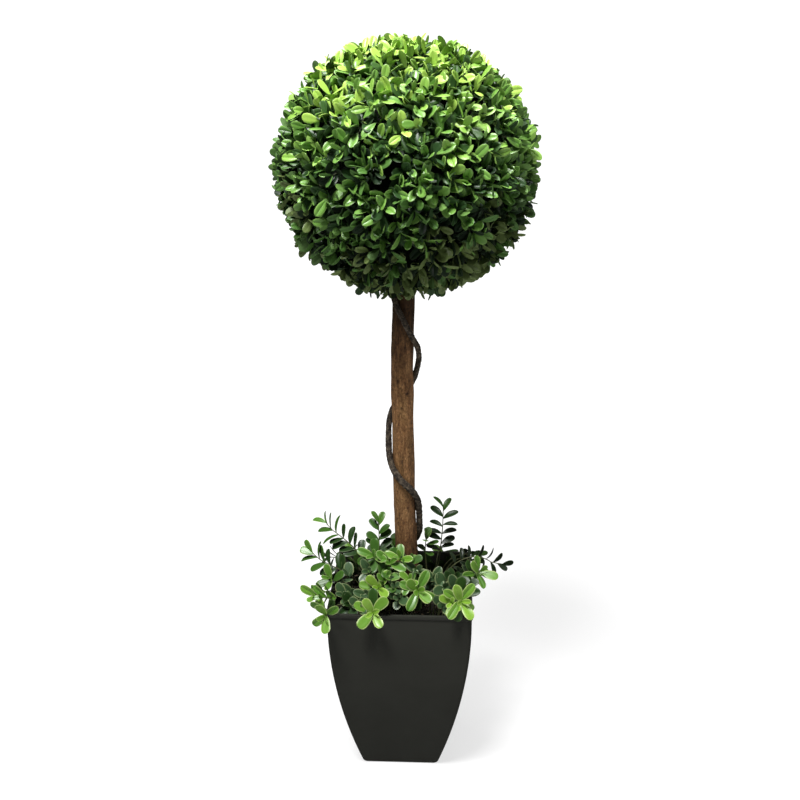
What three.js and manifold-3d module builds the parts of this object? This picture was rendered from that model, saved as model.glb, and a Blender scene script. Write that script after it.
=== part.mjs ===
// Box topiary ball: an artificial box tree, clipped to a ball on one bare stem, planted in a tapered square pot.
// The solids are the pot, its fill, the stem, the vine wound round it, the clipped ball and the sprigs round
// its foot. Millimetres, +Z up. The origin is the centre of the pot's flat underside, and -Y is the front.

import * as THREE from 'three';
import { mergeVertices } from 'three/addons/utils/BufferGeometryUtils.js';
import Module from 'manifold-3d';

// ---- Driving dimensions ----------------------------------------------------------------------------------

const GAP = 0.35; // clearance between pieces that touch on the real tree
const WELD = 0.04; // shortest edge left where pieces are fused

// Pot: half widths across the flats; the sides bow outwards and run straight up above bowHeight
const POT = {
  height: 237, rimHalf: 87, footHalf: 48, bowHeight: 215, bowPower: 1.75,
  wall: 3, floor: 4, cornerShare: 0.06, lip: 1.2, lipHeight: 5, rings: 8,
};
const FILL_TOP = POT.height - 28;

// Stem: the places its middle line passes through, as [x, y, z], and its radii from foot to top
const TRUNK = {
  bends: [[11, 0, 30], [8.5, 0, 209], [3, -2, 350], [0.5, -1, 480], [0, 0, 530], [2, 0, 620], [1, 0, 775]],
  footRadius: 14.3, topRadius: 12.3, knotHeight: 488, knotSpread: 16, knotRadius: 0.9, sides: 10, steps: 15,
};

// Vine: one turn each pitch, passing the right of the stem at rightHeight; it stands off in a slack bow
const VINE = {
  radius: 3.8, pitch: 203, rightHeight: 336, top: 622,
  slackHeight: 539, slackSpread: 24, slack: 2.6, sides: 6, steps: 44,
};

// Ball: an ellipsoid that the tips reach and a smaller core that the sprays stand out of
const BALL = { centre: [1, 0, 757], reach: 151, squash: 0.945, coreShare: 0.85, coreDetail: 2, seed: 11 };
const SPRAY = {
  count: 52, root: 6, twig: 14, twigRadius: 2.6, forkAt: 0.4, forkSpread: 1.15, forkLength: 17, forkRadius: 1.1,
  lean: 0.4, lift: 0.2, turn: 0.7, tries: 12,
};
const BALL_LEAF = { length: 36, width: 20, open: 1.0 };

// Leaf: shape shared by all, as shares of its length or half width
const LEAF = { widest: 0.6, fold: 0.42, thick: 0.055, curl: 0.1, sunk: [3, 4.6] };

// Sprigs round the foot: [name, root x, y, tip x, y, z, arch, leaf pairs, leaf length]
const SPRIG = { stemRadius: 1.8, tipShare: 0.7, firstPair: 0.3, open: 0.95, rosette: 2, steps: 4, seed: 29 };
const SPRIG_LIST = [
  ['sprig_back_left', -34, 16, -88, 30, 296, 12, 4, 28],
  ['sprig_left', -46, -4, -108, -6, 284, 16, 4, 28],
  ['sprig_behind_trunk', -30, 44, -35, 47, 300, 0, 4, 27],
  ['sprig_trunk_right', 34, 8, 29, 6, 296, 0, 3, 27],
  ['sprig_tall_right', 42, 27, 51, 26, 332, 0, 6, 27],
  ['sprig_right', 46, 12, 122, 14, 262, 26, 4, 28],
  ['sprig_low_right', 54, -16, 106, -26, 262, 14, 3, 30],
  ['sprig_front_left', -46, -50, -92, -104, 238, 34, 2, 30],
  ['sprig_left_low', -56, -26, -114, -50, 244, 20, 3, 30],
  ['sprig_front', -26, -50, -34, -103, 243, 26, 2, 31],
  ['sprig_front_mid', -22, -32, -28, -50, 259, 4, 2, 31],
  ['sprig_trunk_left', -28, -6, -32, -10, 275, 0, 3, 31],
  ['sprig_trunk_front', 2, -26, 5, -30, 272, 0, 2, 29],
  ['sprig_front_right', 16, -40, 22, -64, 255, 6, 2, 31],
  ['sprig_right_mid', 40, -34, 56, -48, 252, 4, 2, 31],
  ['sprig_corner_right', 54, -56, 76, -98, 246, 22, 2, 31],
  ['sprig_inner_left', -42, -26, -62, -30, 254, 2, 2, 27],
  ['sprig_back_right', 46, 50, 92, 76, 270, 16, 4, 29],
  ['sprig_back', 6, 44, 4, 82, 284, 8, 4, 29],
  ['sprig_back_corner', -52, 48, -92, 88, 254, 22, 3, 30],
];

const COLOURS = {
  pot: [0x2c2b27, 0.5], fill: [0x2a241c, 0.95], trunk: [0x6a4630, 0.85], vine: [0x3a322b, 0.9],
  ball: [0x4f8a2c, 0.5], sprig: [0x5c9a3a, 0.5],
};

// ---- Tools -----------------------------------------------------------------------------------------------

const wasm = await Module();
wasm.setup();
const UP = new THREE.Vector3(0, 0, 1);

// A repeatable stream of numbers from 0 to 1
function seeded(seed) {
  let state = seed;
  return () => {
    state = (state * 1664525 + 1013904223) % 4294967296;
    return state / 4294967296;
  };
}

function vector(list) {
  return new THREE.Vector3(...list);
}

// A closed three.js geometry as a solid
function toSolid(geometry) {
  const bare = geometry.clone();
  bare.deleteAttribute('normal');
  bare.deleteAttribute('uv');
  const merged = mergeVertices(bare, 1e-4);
  return new wasm.Manifold(new wasm.Mesh({
    numProp: 3,
    vertProperties: new Float32Array(merged.attributes.position.array),
    triVerts: new Uint32Array(merged.index.array),
  }));
}

function toGeometry(solid) {
  const mesh = solid.getMesh();
  const geometry = new THREE.BufferGeometry();
  geometry.setAttribute('position', new THREE.BufferAttribute(mesh.vertProperties, 3));
  geometry.setIndex(new THREE.BufferAttribute(mesh.triVerts, 1));
  geometry.computeVertexNormals();
  return geometry;
}

// A solid whose edges shorter than WELD are closed up, so that no sliver is left where pieces were fused
function weld(solid) {
  const { vertProperties, triVerts } = solid.getMesh();
  const stands = Array.from({ length: vertProperties.length / 3 }, (_, k) => k);
  const find = (k) => (stands[k] === k ? k : find(stands[k]));
  const place = (k) => vertProperties.slice(3 * k, 3 * k + 3);
  for (let i = 0; i < triVerts.length; i += 3) {
    for (const [from, to] of [[0, 1], [1, 2], [2, 0]]) {
      const [a, b] = [find(triVerts[i + from]), find(triVerts[i + to])];
      const [p, q] = [place(a), place(b)];
      if (a !== b && Math.hypot(p[0] - q[0], p[1] - q[1], p[2] - q[2]) < WELD) stands[b] = a;
    }
  }
  const kept = [];
  for (let i = 0; i < triVerts.length; i += 3) {
    const [a, b, c] = Array.from(triVerts.slice(i, i + 3), find);
    if (a !== b && b !== c && c !== a) kept.push(a, b, c);
  }
  return new wasm.Manifold(new wasm.Mesh({ numProp: 3, vertProperties, triVerts: new Uint32Array(kept) }));
}

// Fuse solids into one closed body: sealed hollows are filled and loose scraps dropped
function fuse(solids) {
  return weld(wasm.Manifold.union(solids).simplify(WELD)).decompose()
    .reduce((best, body) => (body.volume() > best.volume() ? body : best));
}

function isClear(solid, others) {
  return others.every((other) => solid.minGap(other, 2 * GAP) >= GAP);
}

// Every vertex of a geometry moved by a function
function reshape(geometry, move) {
  const places = geometry.attributes.position;
  const point = new THREE.Vector3();
  for (let i = 0; i < places.count; i += 1) {
    point.fromBufferAttribute(places, i);
    move(point);
    places.setXYZ(i, point.x, point.y, point.z);
  }
  return geometry;
}

// A round limb along a curve: a cylinder bent to it, its radius given by the share of the length
function limb(curve, radiusAt, sides, steps) {
  const tube = new THREE.CylinderGeometry(1, 1, 1, sides, steps);
  return toSolid(reshape(tube, (point) => {
    const share = point.y + 0.5;
    const along = curve.getTangent(share);
    const side = new THREE.Vector3().crossVectors(along, Math.abs(along.z) > 0.5 ? vector([0, -1, 0]) : UP).normalize();
    const other = new THREE.Vector3().crossVectors(side, along);
    const radius = radiusAt(share);
    const centre = curve.getPoint(share);
    const flat = point.clone();
    point.copy(centre).addScaledVector(side, flat.x * radius).addScaledVector(other, flat.z * radius);
  }));
}

// ---- Pot and fill ----------------------------------------------------------------------------------------

function potHalf(z) {
  const below = Math.max(0, 1 - z / POT.bowHeight);
  return POT.footHalf + (POT.rimHalf - POT.footHalf) * (1 - below ** POT.bowPower);
}

// A block of rounded square section from z = bottom to z = top, its half width given for each height
function squareBlock(halfAt, bottom, top, steps) {
  const corner = 2 * POT.cornerShare;
  const square = new THREE.Shape();
  square.absarc(1 - corner, 1 - corner, corner, 0, Math.PI / 2);
  square.absarc(corner - 1, 1 - corner, corner, Math.PI / 2, Math.PI);
  square.absarc(corner - 1, corner - 1, corner, Math.PI, 1.5 * Math.PI);
  square.absarc(1 - corner, corner - 1, corner, 1.5 * Math.PI, 2 * Math.PI);
  const block = new THREE.ExtrudeGeometry(square, { depth: top - bottom, steps, curveSegments: 1, bevelEnabled: false });
  block.translate(0, 0, bottom);
  return toSolid(reshape(block, (point) => {
    const half = halfAt(point.z);
    point.x *= half;
    point.y *= half;
  }));
}

function makePot() {
  const body = squareBlock(potHalf, 0, POT.height, POT.rings);
  const lip = squareBlock(() => POT.rimHalf + POT.lip, POT.height - POT.lipHeight, POT.height, 1);
  const inside = squareBlock((z) => potHalf(z) - POT.wall, POT.floor, POT.height + 10, POT.rings);
  return body.add(lip).subtract(inside);
}

function makeFill(boredBy) {
  const inside = squareBlock((z) => potHalf(z) - POT.wall - GAP, POT.floor, POT.height + 10, POT.rings);
  const block = inside.trimByPlane([0, 0, 1], POT.floor + GAP).trimByPlane([0, 0, -1], -FILL_TOP);
  return block.subtract(boredBy);
}

// ---- Stem and vine ---------------------------------------------------------------------------------------

const trunkLine = new THREE.CatmullRomCurve3(TRUNK.bends.map(vector));
const trunkFoot = TRUNK.bends[0][2];
const trunkTop = TRUNK.bends[TRUNK.bends.length - 1][2];

function trunkRadius(z) {
  const share = (z - trunkFoot) / (trunkTop - trunkFoot);
  const knot = TRUNK.knotRadius * Math.exp(-(((z - TRUNK.knotHeight) / TRUNK.knotSpread) ** 2));
  return THREE.MathUtils.lerp(TRUNK.footRadius, TRUNK.topRadius, share) + knot;
}

// The stem's middle at one height, found by halving
function trunkMiddle(z) {
  let low = 0;
  let high = 1;
  for (let i = 0; i < 30; i += 1) {
    const half = (low + high) / 2;
    if (trunkLine.getPoint(half).z < z) low = half;
    else high = half;
  }
  return trunkLine.getPoint(low);
}

function makeTrunk(extra) {
  return limb(trunkLine, (share) => trunkRadius(trunkLine.getPoint(share).z) + extra, TRUNK.sides, TRUNK.steps);
}

class VineLine extends THREE.Curve {
  getPoint(share) {
    const z = THREE.MathUtils.lerp(FILL_TOP - 12, VINE.top, share);
    const turn = (-2 * Math.PI * (z - VINE.rightHeight)) / VINE.pitch;
    const slack = VINE.slack * Math.exp(-(((z - VINE.slackHeight) / VINE.slackSpread) ** 2));
    const away = trunkRadius(z) + VINE.radius + 2 * GAP + slack;
    return trunkMiddle(z).add(vector([away * Math.cos(turn), away * Math.sin(turn), 0]));
  }
}

function makeVine() {
  const vine = limb(new VineLine(), () => VINE.radius, VINE.sides, VINE.steps);
  return vine.trimByPlane([0, 0, 1], FILL_TOP + GAP);
}

// ---- Leaves, twigs and sprays ----------------------------------------------------------------------------

// Three directions at right angles round a given one, turned by roll
function axesRound(along, roll) {
  const across = new THREE.Vector3().crossVectors(along, Math.abs(along.z) > 0.9 ? vector([1, 0, 0]) : UP).normalize();
  across.applyAxisAngle(along, roll);
  return { across, along, normal: new THREE.Vector3().crossVectors(across, along) };
}

// A leaf of eight faces from its root, folded along its middle and curled away from its normal at the tip
function makeLeaf(root, { across, along, normal }, length, width) {
  const leaf = reshape(new THREE.OctahedronGeometry(1), (corner) => {
    const reached = [0, LEAF.widest, 1][Math.round(corner.y) + 1];
    const raised = Math.abs(corner.x) * LEAF.fold * (width / 2) + corner.z * (LEAF.thick / 2) * length;
    corner.set(corner.x * (width / 2), reached * length, raised - LEAF.curl * length * reached * reached);
  });
  leaf.applyMatrix4(new THREE.Matrix4().makeBasis(across, along, normal).setPosition(root));
  return toSolid(leaf);
}

// Two opposite leaves that open from a twig by an angle, to its two sides along across, their roots sunk in it
function leafPair(at, along, across, open, length, width) {
  return [1, -1].map((hand, k) => {
    const root = at.clone().addScaledVector(along, -LEAF.sunk[k]);
    const away = across.clone().multiplyScalar(hand);
    const leafAlong = along.clone().multiplyScalar(Math.cos(open)).addScaledVector(away, Math.sin(open));
    const normal = along.clone().multiplyScalar(Math.sin(open)).addScaledVector(away, -Math.cos(open));
    const leafAcross = new THREE.Vector3().crossVectors(leafAlong, normal);
    return makeLeaf(root, { across: leafAcross, along: leafAlong, normal }, length, width);
  });
}

// A three-sided twig that tapers to the radius of the finest ones
function makeTwig(from, to, radius) {
  const length = from.distanceTo(to);
  const twig = new THREE.CylinderGeometry(SPRAY.forkRadius, radius, length, 3).translate(0, length / 2, 0);
  const turned = new THREE.Quaternion().setFromUnitVectors(vector([0, 1, 0]), to.clone().sub(from).normalize());
  return toSolid(twig.applyQuaternion(turned).translate(from.x, from.y, from.z));
}

// ---- Ball ------------------------------------------------------------------------------------------------

const ballCentre = vector(BALL.centre);

// How far out a point lies in the ball, as a share of its reach
function ballShare([x, y, z]) {
  const { x: across, y: deep, z: high } = vector([x, y, z]).sub(ballCentre);
  return Math.hypot(across, deep, high / BALL.squash) / BALL.reach;
}

function staysInBall(solid) {
  const { vertProperties } = solid.getMesh();
  for (let i = 0; i < vertProperties.length; i += 3) {
    if (ballShare(vertProperties.slice(i, i + 3)) > 1) return false;
  }
  return true;
}

function boxesMeet(a, b) {
  return [0, 1, 2].every((i) => a.min[i] < b.max[i] && b.min[i] < a.max[i]);
}

// Whether a leaf cuts through a leaf of another pair or a twig that doesn't carry it
function crosses(leaf, others) {
  const box = leaf.boundingBox();
  return others.some((other) => boxesMeet(box, other.boundingBox()) && leaf.intersect(other).volume() > 0.01);
}

// A pair of leaves at a twig's end, turned and shortened until both, or else one, stay in the ball clear of the rest
function placePair(end, along, across, draw, grown, limbs) {
  let best = [];
  for (let k = 0; k < SPRAY.tries && best.length < 2; k += 1) {
    const open = BALL_LEAF.open * (0.85 + 0.3 * draw());
    const size = 1 - 0.04 * k;
    const turned = across.clone().applyAxisAngle(along, (k + 1) * SPRAY.turn * (draw() - 0.5));
    const pair = leafPair(end, along, turned, open, size * BALL_LEAF.length, size * BALL_LEAF.width);
    const fitting = pair.filter((leaf) => staysInBall(leaf) && isClear(leaf, limbs) && !crosses(leaf, grown));
    if (fitting.length > best.length) best = fitting;
  }
  return best;
}

// One spray: a twig that forks into three, each with a pair of leaves at its end
function addSpray(root, along, draw, twigs, leaves, limbs) {
  const end = root.clone().addScaledVector(along, SPRAY.twig);
  const fork = root.clone().lerp(end, SPRAY.forkAt);
  const { across, normal } = axesRound(along, draw() * Math.PI);
  const branches = [[root, end, SPRAY.twigRadius]];
  for (const hand of [1, -1]) {
    const side = along.clone().addScaledVector(across, hand * Math.tan(SPRAY.forkSpread)).normalize();
    branches.push([fork, fork.clone().addScaledVector(side, SPRAY.forkLength), SPRAY.forkRadius]);
  }
  const made = branches.map(([from, to, radius]) => makeTwig(from, to, radius));
  if (!made.every((twig) => isClear(twig, limbs))) return;
  twigs.push(...made);
  branches.forEach(([from, to], k) => {
    const others = twigs.filter((twig) => twig !== made[k]);
    leaves.push(...placePair(to, to.clone().sub(from).normalize(), normal, draw, [...leaves, ...others], limbs));
  });
}

function makeBall(bore, limbs) {
  const core = reshape(new THREE.IcosahedronGeometry(BALL.reach * BALL.coreShare, BALL.coreDetail), (point) => {
    point.z *= BALL.squash;
    point.add(ballCentre);
  });
  const twigs = [];
  const leaves = [];
  for (let k = 0; k < SPRAY.count; k += 1) {
    const draw = seeded(BALL.seed + k);
    draw();
    const height = 1 - (2 * k + 1) / SPRAY.count;
    const turn = k * Math.PI * (3 - Math.sqrt(5));
    const ring = Math.sqrt(1 - height * height);
    const outward = vector([ring * Math.cos(turn), ring * Math.sin(turn), height]);
    const root = outward.clone().multiplyScalar(BALL.reach * BALL.coreShare - SPRAY.root);
    root.z *= BALL.squash;
    root.add(ballCentre);
    const lean = vector([draw() - 0.5, draw() - 0.5, draw() - 0.5 + SPRAY.lift]).multiplyScalar(SPRAY.lean);
    addSpray(root, outward.add(lean).normalize(), draw, twigs, leaves, limbs);
  }
  return fuse([toSolid(core).subtract(bore), ...twigs, ...leaves]);
}

// ---- Sprigs round the foot -------------------------------------------------------------------------------

// One sprig: a stem arched from its root to its tip, pairs of leaves turned a quarter from pair to pair,
// and a rosette of pairs at the tip
function makeSprig([, rootX, rootY, tipX, tipY, tipZ, arch, pairs, leafLength], draw, neighbours) {
  const root = vector([rootX, rootY, FILL_TOP - 5]);
  const tip = vector([tipX, tipY, tipZ]);
  const bend = root.clone().lerp(tip, 0.5).setZ((root.z + tip.z) / 2 + 2 * arch);
  const line = new THREE.QuadraticBezierCurve3(root, bend, tip);
  const radiusAt = (share) => SPRIG.stemRadius * (1 - (1 - SPRIG.tipShare) * share);
  const stem = limb(line, radiusAt, 3, SPRIG.steps).trimByPlane([0, 0, 1], FILL_TOP + GAP);
  const leaves = [];
  const roll = draw() * Math.PI;
  for (let k = 0; k < pairs; k += 1) {
    const share = THREE.MathUtils.lerp(SPRIG.firstPair, 0.9, k / Math.max(1, pairs - 1));
    const { across, along } = axesRound(line.getTangent(share), roll + (k * Math.PI) / 2);
    leaves.push(...leafPair(line.getPoint(share), along, across, SPRIG.open, leafLength * 0.9, leafLength * 0.5));
  }
  for (let k = 0; k < SPRIG.rosette; k += 1) {
    const { across, along } = axesRound(line.getTangent(1), roll + ((pairs + k) * Math.PI) / 2);
    const open = SPRIG.open * (1.1 - 0.3 * k);
    leaves.push(...leafPair(line.getPoint(1 - 0.02 * k), along, across, open, leafLength, leafLength * 0.54));
  }
  return fuse([stem, ...leaves.filter((leaf) => isClear(leaf, neighbours))]);
}

// ---- Assembly --------------------------------------------------------------------------------------------

const tree = new THREE.Group();

function addPiece(name, solid, [colour, roughness]) {
  const material = new THREE.MeshStandardMaterial({ color: colour, roughness, metalness: 0 });
  const mesh = new THREE.Mesh(toGeometry(solid), material);
  mesh.name = name;
  tree.add(mesh);
}

const trunk = makeTrunk(0);
const pot = makePot();
const fill = makeFill(makeTrunk(GAP).translate([0, 0, -GAP]));
const vine = makeVine();
addPiece('pot', pot, COLOURS.pot);
addPiece('fill', fill, COLOURS.fill);
addPiece('trunk', trunk, COLOURS.trunk);
addPiece('vine', vine, COLOURS.vine);
addPiece('ball', makeBall(makeTrunk(GAP).translate([0, 0, GAP]), [trunk, vine]), COLOURS.ball);

const draw = seeded(SPRIG.seed);
const standing = [pot, fill, trunk, vine];
for (const entry of SPRIG_LIST) {
  const sprig = makeSprig(entry, draw, standing);
  addPiece(entry[0], sprig, COLOURS.sprig);
  standing.push(sprig);
}

export default tree;
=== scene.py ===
"""Looks of an artificial box tree: a clipped ball of leaves on a bare stem with a vine, in a tapered pot.

Lengths are in millimetres until new_object() writes them as metres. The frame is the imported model's: +Z up,
origin at the centre of the pot's underside, -Y to the front. Foliage grows by the same rule as in the model,
a spray of forking twigs with opposite leaves at each point of a golden spiral, carried here to finer twigs.
"""

from collections import namedtuple
from math import cos, hypot, pi, radians, sin, sqrt, tan
from types import SimpleNamespace as Sizes

import bpy
import numpy as np
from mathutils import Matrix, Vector


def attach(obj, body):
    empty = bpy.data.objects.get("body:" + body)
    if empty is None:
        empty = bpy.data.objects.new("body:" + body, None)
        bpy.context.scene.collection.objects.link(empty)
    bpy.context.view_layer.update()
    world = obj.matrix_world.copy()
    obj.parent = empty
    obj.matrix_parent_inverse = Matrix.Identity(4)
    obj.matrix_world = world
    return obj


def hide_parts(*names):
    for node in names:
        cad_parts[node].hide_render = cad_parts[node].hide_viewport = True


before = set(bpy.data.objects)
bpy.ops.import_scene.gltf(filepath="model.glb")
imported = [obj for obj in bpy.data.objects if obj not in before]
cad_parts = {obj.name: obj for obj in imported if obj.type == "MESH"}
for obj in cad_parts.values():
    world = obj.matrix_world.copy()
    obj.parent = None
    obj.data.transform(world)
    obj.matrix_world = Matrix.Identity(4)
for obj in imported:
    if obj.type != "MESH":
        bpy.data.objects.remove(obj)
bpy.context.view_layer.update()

# ---- Sizes ----

MM = 0.001
GAP = 0.35  # clearance between pot and fill, as in the model

POT = Sizes(
    height=237, rim_half=87, foot_half=48, bow_height=215, bow_power=1.75,
    wall=3, floor=4, corner=4.5, lip=1.2, lip_height=5, edge=0.7,
)
FILL_TOP = POT.height - 28
EARTH = Sizes(
    cells=96, depth=14, settled=1.5, lumps=3.2, lump_size=21, grit=1.1, grit_size=5, level_edge=10,
    corner=4, rounding=0.07,
)
# Fewest and most of each size of a chip or fibre, and how far its outline, slope or bend may go either way
LITTER = Sizes(
    chips=420, fibres=190, seed=5, margin=7,
    length=(2.5, 6), width=(1.2, 3), thick=(0.8, 1.8), uneven=0.3, slope=0.35,
    reach=(7, 20), bend=0.3, lift=(0, 1.4), radius=(0.25, 0.5), inside=2, raised=0.4, pale_every=5,
    colours={"brown": (0.055, 0.028, 0.014), "black": (0.01, 0.007, 0.005), "moss": (0.03, 0.045, 0.012),
             "pale": (0.2, 0.16, 0.1)},
)

TRUNK_BENDS = [
    (11, 0, 30), (8.5, 0, 209), (3, -2, 350), (0.5, -1, 480), (0, 0, 530), (2, 0, 620), (1, 0, 775),
]
TRUNK_FOOT, TRUNK_TOP = TRUNK_BENDS[0][2], TRUNK_BENDS[-1][2]
TRUNK = Sizes(foot_radius=14.3, top_radius=12.3, knot_height=488, knot_spread=16, knot_radius=0.9)
TRUNK_KNOTS = [  # height, angle round the stem in degrees from +X, size
    (492, -62, 3.4), (507, -112, 2.6), (473, -92, 2.2), (548, -75, 1.8), (405, -98, 2.0), (345, -70, 1.9),
    (430, 60, 3.0), (368, 140, 2.6), (560, 170, 2.4), (300, 30, 2.2), (270, -120, 2.0),
]
# The bark's relief, the cells of its noise a millimetre across and along, and the shape of a knot
BARK = Sizes(
    radius=13, around=112, rows=330, grain=0.42, grain_cells=(0.55, 0.55, 0.035), swell=0.55,
    swell_cells=(0.05, 0.05, 0.018), knot_rise=0.7, knot_width=1.5, dent=1.5, dent_width=0.75,
)

VINE = Sizes(
    radius=4.2, pitch=203, right_height=330, sway=0.35, even_height=560, even_spread=120, top=622,
    slack_height=539, slack_spread=24, slack=2.6, sunk=8, rows=560, around=20, foot_share=1.1, taper=0.34,
    skin=4, relief=0.4, fibre_size=2.6, swell_size=11,
)

BALL = Sizes(centre=np.array((3.5, 0, 757)), reach=151, squash=0.945, hang=0.045, core_share=0.75, seed=11)
# Chances are the least and most of a drawn factor. Turns and the fork's spread are in radians
SPRAY = Sizes(
    count=390, root_share=0.79, twig=14, radius=0.9, fork_at=0.35, forks=3, fork_spread=0.78, fork_length=14,
    fork_thin=0.75, lean=0.6, lift=0.3, rise=0.2, opening=0.55, stray=0.025,
    turn=0.05, root_chance=(0.94, 1.03), twig_chance=(0.8, 1.15), fork_turn=0.4, fork_chance=(0.75, 1.1),
    length_chance=(0.75, 1.15), leaf_chance=(0.85, 1.12), spread_chance=(0.8, 1.15),
)
BALL_LEAF = 21
# Place on the branch, opening, size and steps of darkening of each pair of leaves; the inner pair's darkening
# is partly older leaves and partly painted shade deeper in the ball
BALL_PAIRS = ((0.5, 1.0, 1.0, 2), (1.0, 0.52, 0.92, 0))
# Width, fold, crown and curl of each cut of leaf in the ball
BALL_CUTS = (
    (0.5, 0.62, 0.42, 0.1), (0.46, 0.75, 0.45, 0.18), (0.54, 0.5, 0.42, 0.05), (0.49, 0.66, 0.4, -0.06),
)
# Tones by height on the ball: the lighter ones high up are painted light, the olive and deep ones low down
# painted shade
BALL_TONES = ((0.66, "lime"), (0.38, "spring"), (-0.22, "fresh"), (-0.65, "green"), (-1.3, "olive"))
TONE_CHANCE = 0.55
CORE = Sizes(rows=48, columns=72, low_angle=pi - 0.13, high_angle=0.03, rough=0.02, cells=16)

SPRIG = Sizes(
    radius=1.0, tip_radius=0.55, sunk=4, low_bow=0.4, high_bow=0.3, rows=20, shown_up=0.45, pair_turn=106,
    size_chance=(0.85, 1.05), spread_chance=(0.93, 1.07), twist_chance=(0.35, 1.0),
    crown=0.3, thick=0.03, strength=(0.55, 0.65, 0.36), seed=29,
)
# Width, fold and curl of each cut of a sprig's leaf, width and curl against its kind's
SPRIG_CUTS = ((1.0, 0.45, 1.0), (0.93, 0.6, 1.7), (1.06, 0.36, 0.3))
# Leaves are tested for their fit at spots, whose places along and across them are in leaf lengths
BALL_SPOTS = [(0.35, 0), (0.7, 0), (1, 0)]
SPRIG_SPOTS = [(along, across) for along in (0.15, 0.3, 0.5, 0.7, 0.85, 1) for across in (-0.22, 0, 0.22)]

# A leafy stem: its root's x and y, its tip, the way the tip faces (degrees round from +X and up), the kind,
# tone and length of its leaves, the turn of its first pair, the lift of its arch, the gap between its pairs,
# their number, and the length that runs straight to the tip
Shoot = namedtuple(
    "Shoot", "root tip face kind tone leaf roll arch gap pairs straight", defaults=(0, 0, 4, 5, 12)
)

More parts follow.
